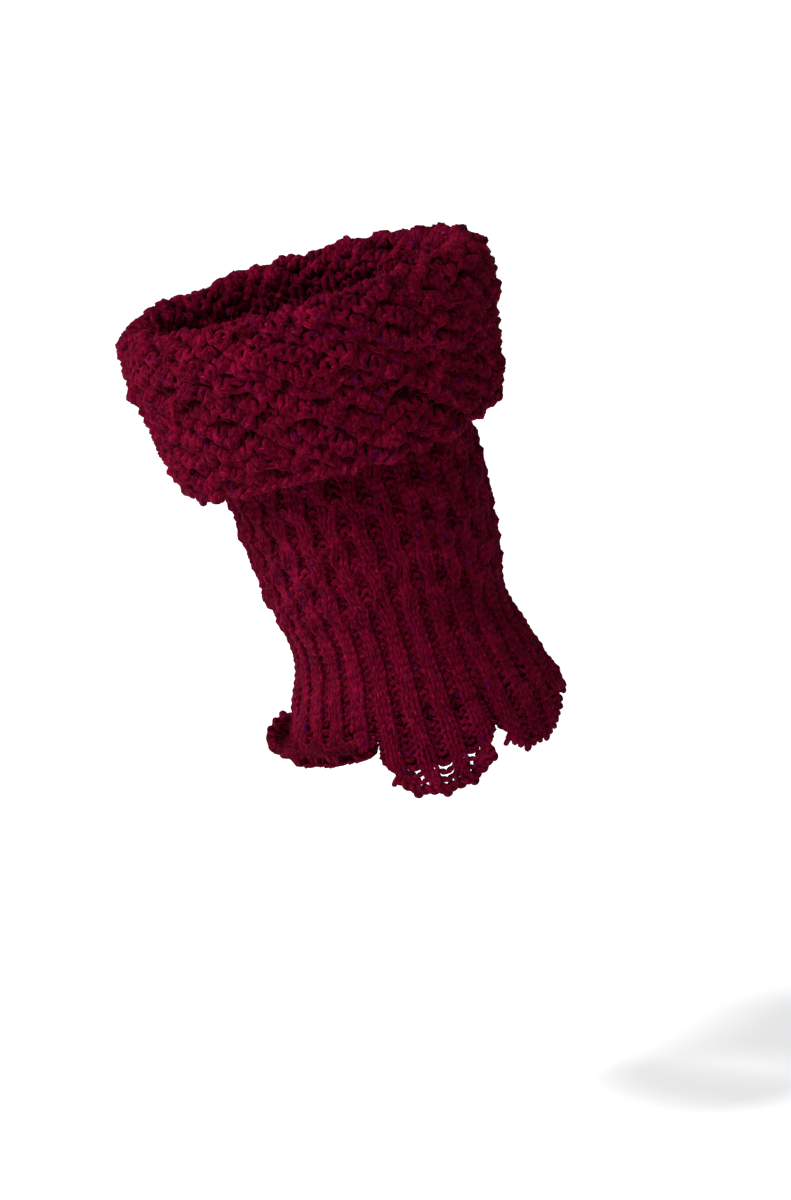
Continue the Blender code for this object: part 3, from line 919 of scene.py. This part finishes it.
class CUFF_OT_collar(bpy.types.Operator):
    """Knit the turned-down collar and twist its cast-on edge"""

    bl_idname = "cuff.collar"
    bl_label = "Collar"

    def execute(self, context):
        knit = knit_settings()
        laying = collar_place(knit)
        shell = ground_round("collar_ground", laying, np.linspace(1.2, COLLAR_LENGTH, 44))
        gauge = Gauge(knit.collar_pitch, knit.collar_yarn_radius, COLLAR_LOOP_DEPTH, 0.15,
                      STITCH_STEPS, 6)
        foot, fold = 1.0, FOLD_COURSE * gauge.pitch
        outer = knitted_round("collar_yarn_outer", laying, moss_face, foot, fold, gauge)
        over = knitted_round("collar_yarn_fold", laying, moss_face, fold, COLLAR_LENGTH,
                             gauge._replace(sides=5), start=FOLD_COURSE)
        edge = self.edge(laying[0])
        loose = fuzz("collar_fibres", [outer, over, edge], 12000, knit.fibre_length * 1.1,
                     seed=23)
        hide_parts("collar")
        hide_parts("collar_edge")
        return {"FINISHED"}

    def edge(self, place):
        """Three strands twisted round the collar's lower end.

        Each circles the end's line, cos(a) off the cloth and sin(a) along it, and makes a
        whole number of turns round the cuff; a sine and the yarn's coarseness make them uneven.
        """
        count, turns, steps_a_turn, radius, sides = 3, 38, 14, 1.30, 8
        line, off, circle, coarse, lag, lags_round = 0.4, 0.1, 1.05, 0.30, 0.5, 13
        steps = turns * steps_a_turn
        column = (COLUMNS * np.arange(steps) / steps)[None, :]
        angle = TURN * (turns * column / COLUMNS + np.arange(count)[:, None] / count)
        angle = angle + lag * np.sin(TURN * lags_round * column / COLUMNS)
        swell = circle + coarse * COARSE(column, 0.0)
        line = line + swell * np.sin(angle)
        off = off + swell * np.cos(angle)
        column = np.broadcast_to(column, angle.shape)
        path = place(column, line, off)
        facing = unit(place(column, line, off + 1.0) - path)
        return strands("collar_edge_yarn", path, facing, radius * MM, sides, True)


class CUFF_OT_scallops(bpy.types.Operator):
    """Knit the seven scallops and bind them off with picots"""

    bl_idname = "cuff.scallops"
    bl_label = "Scallops"

    def execute(self, context):
        for number, row in enumerate(SCALLOPS):
            self.scallop(number, row)
        return {"FINISHED"}

    def scallop(self, number, row):
        """One scallop: ground, courses that lengthen towards its middle, edge and fibres.

        The front one's last courses are open: no ground behind them, and in the purl columns
        flat, thin bars of yarn. A scallop that curls outwards shows its yarn from all sides, so
        it is painted as lit all over, with no painted shade on one side of its strands.
        """
        knit = knit_settings()
        laying = scallop_place(row, number, knit)
        open_work, curled_out = number == 0, row.curve > 0
        radius, reach = (0.92, 0.70) if open_work else (0.96, 0.96)
        narrower, flatter, thinner = 0.985, 0.85, 0.08
        gauge = leg_gauge(knit, radius=radius, draw=0.20)
        column = np.linspace(-HALF_SCALLOP, HALF_SCALLOP, 37)[None, :] * narrower
        share = np.linspace(0.0, reach, 14)[::-1, None]
        lengths = scallop_lengths(column / HALF_SCALLOP, row)
        shell = ground("scallop_ground_" + row.name, laying[0], column + 0 * share,
                       share * lengths, False)
        count = int(round(float(lengths.max()) / gauge.pitch))
        courses = np.arange(count)
        turn = loop_turns(SCALLOP_COLUMNS, gauge.steps)
        plain = (-HALF_SCALLOP - 0.5 + turn / TURN)[None, :]
        length = scallop_lengths(plain / HALF_SCALLOP, row)
        level = length * (courses[:, None] + 0.5) / count
        opened = (open_work & (courses >= count - OPEN_COURSES))[:, None] * ease(
            (gutter_share(plain) - 0.30) / 0.30)
        path, facing, proud = loops(laying, rib_face, courses, -HALF_SCALLOP, turn, level,
                                    length / count, gauge, flat=flatter * opened)
        if curled_out:
            # Painted light all over an outward curl, and no painted shade on a strand's side
            proud, painted_side_shade, longer, taller = CURL_PAINTED_LIGHT, 0.0, 1.35, 1.4
        else:
            painted_side_shade, longer, taller = PAINTED_SHADE_BY_SIDE, 1.0, 1.0
        yarn = strands("scallop_yarn_" + row.name, path, facing,
                       gauge.radius * (1 - thinner * opened) * MM, gauge.sides, False,
                       proud, painted_side_shade)
        edge, picots = self.edge(row, laying[0])
        loose = fuzz("scallop_fibres_" + row.name, [yarn, edge], 800, knit.fibre_length,
                     seed=30 + number)
        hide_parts("scallop_" + row.name)
        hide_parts("picot_edge_" + row.name)

    def edge(self, row, place):
        """Two strands twisted along the lower outline, and a small loop at each picot.

        The outline's line is the cloth's end, moved off it by the cord's radius; each strand
        circles it, cos(a) off the cloth and sin(a) in its plane. A picot is a ring of yarn that
        starts and ends on the line.
        """
        twist_length, swing, radius, sides, sunk_in = 5.4, 0.80, 0.92, 7, 0.8
        column = np.linspace(-HALF_SCALLOP, HALF_SCALLOP, 145) * 0.999
        length = scallop_lengths(column / HALF_SCALLOP, row)
        rim = place(column, length, 0.0)
        facing_out = unit(place(column, length, 1.0) - rim)
        inside = place(column * 0.97, length - 0.6, 0.0)
        away = np.cross(unit(np.gradient(rim, axis=0)), facing_out)
        away *= np.sign(np.sum(away * (rim - inside), axis=-1, keepdims=True))
        away = unit(away)
        line = rim + away * (PICOT_CORD + PICOT_GAP) * sunk_in * MM
        gone = np.cumsum(np.linalg.norm(np.diff(line, axis=0), axis=-1)) / MM
        gone = np.concatenate([[0.0], gone])
        angle = TURN * gone[None, :] / twist_length + np.array([[0.0], [math.pi]])
        path = line + swing * MM * (np.cos(angle)[..., None] * facing_out
                                    + np.sin(angle)[..., None] * away)
        facing = np.broadcast_to(facing_out, path.shape)
        cord = strands("picot_edge_yarn_" + row.name, path, facing, radius * MM, sides, False)

        first, end_gap, apart, points_round, radius = 4.0, 3.0, 8.4, 18, 0.78
        foot, half_length, half_width, tilt = 0.5, 0.85, 0.80, 0.25
        at = np.searchsorted(gone, np.arange(first, gone[-1] - end_gap, apart))
        turn = TURN * np.arange(points_round)[None, :, None] / points_round
        out, beside, up = (ways[at][:, None] for ways in (
            away, unit(np.gradient(line, axis=0)), facing_out))
        ring = line[at][:, None] + MM * (out * (foot + half_length * (1 - np.cos(turn)))
                                         + beside * half_width * np.sin(turn)
                                         + up * tilt * np.cos(turn + 1.0))
        picots = strands("picots_" + row.name, ring, np.broadcast_to(up, ring.shape),
                         radius * MM, sides, True)
        return cord, picots


class CUFF_OT_stage(bpy.types.Operator):
    """Lay the floor and set the lights and the camera"""

    bl_idname = "cuff.stage"
    bl_label = "Stage"

    def execute(self, context):
        scene = context.scene
        corners = [(x * FLOOR_REACH, y * FLOOR_REACH, FLOOR_HEIGHT)
                   for x, y in ((-1, -1), (1, -1), (1, 1), (-1, 1))]
        mesh = bpy.data.meshes.new("floor")
        mesh.from_pydata(corners, [], [(0, 1, 2, 3)])
        mesh.materials.append(plain_material("floor_white", colours().floor, 0.8, FLOOR_GLOW))
        floor = bpy.data.objects.new("floor", mesh)
        scene.collection.objects.link(floor)
        scene.world = bpy.data.worlds.new("studio")
        scene.world.use_nodes = True
        sky = scene.world.node_tree.nodes["Background"]
        sky.inputs["Color"].default_value = (1, 1, 1, 1)
        sky.inputs["Strength"].default_value = SKY_STRENGTH
        for name, place, watts, width in LAMPS:
            self.lamp(name, "AREA", watts, -Vector(place), place).size = width
        self.lamp("sun", "SUN", SUN_STRENGTH, Vector(SUN_WAY)).angle = SUN_WIDTH
        camera_data = bpy.data.cameras.new("camera")
        camera_data.sensor_fit = "VERTICAL"
        camera_data.sensor_height = CAMERA_SENSOR
        camera_data.lens = CAMERA_LENS
        camera = bpy.data.objects.new("camera", camera_data)
        away = Vector((0.0, -math.cos(CAMERA_RISE), math.sin(CAMERA_RISE)))
        camera.location = Vector(CAMERA_TARGET) + CAMERA_AWAY * away
        camera.rotation_euler = (math.pi / 2 - CAMERA_RISE, 0.0, 0.0)
        scene.collection.objects.link(camera)
        scene.camera = camera
        scene.view_settings.view_transform = "Standard"
        return {"FINISHED"}

    def lamp(self, name, kind, energy, way, location=(0.0, 0.0, 0.0)):
        """A lamp that shines one way; returns its light."""
        light = bpy.data.lights.new(name, kind)
        light.energy = energy
        lamp = bpy.data.objects.new(name, light)
        lamp.location = location
        lamp.rotation_euler = way.to_track_quat("-Z", "Y").to_euler()
        bpy.context.scene.collection.objects.link(lamp)
        return light


class CUFF_PT_panel(bpy.types.Panel):
    """Sizes, colours and steps of the cuff"""

    bl_label = "Knitted Boot Cuff"
    bl_idname = "CUFF_PT_panel"
    bl_space_type = "VIEW_3D"
    bl_region_type = "UI"
    bl_category = "Cuff"

    def draw(self, context):
        for group in (context.scene.cuff_knit, context.scene.cuff_colours):
            box = self.layout.box()
            for name in group.__annotations__:
                box.prop(group, name)
        for step in STEPS:
            self.layout.operator(step.bl_idname)


STEPS = (CUFF_OT_leg_rib, CUFF_OT_leg_pattern, CUFF_OT_collar, CUFF_OT_scallops, CUFF_OT_stage)
CLASSES = (CuffKnit, CuffColours) + STEPS + (CUFF_PT_panel,)


def register():
    for each in CLASSES:
        bpy.utils.register_class(each)
    bpy.types.Scene.cuff_knit = bpy.props.PointerProperty(type=CuffKnit)
    bpy.types.Scene.cuff_colours = bpy.props.PointerProperty(type=CuffColours)


def unregister():
    del bpy.types.Scene.cuff_colours
    del bpy.types.Scene.cuff_knit
    for each in reversed(CLASSES):
        bpy.utils.unregister_class(each)


def main():
    """Build everything in order."""
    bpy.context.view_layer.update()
    register()
    bpy.ops.cuff.leg_rib()
    bpy.ops.cuff.leg_pattern()
    bpy.ops.cuff.collar()
    bpy.ops.cuff.scallops()
    bpy.ops.cuff.stage()


if __name__ == "__main__":
    main()
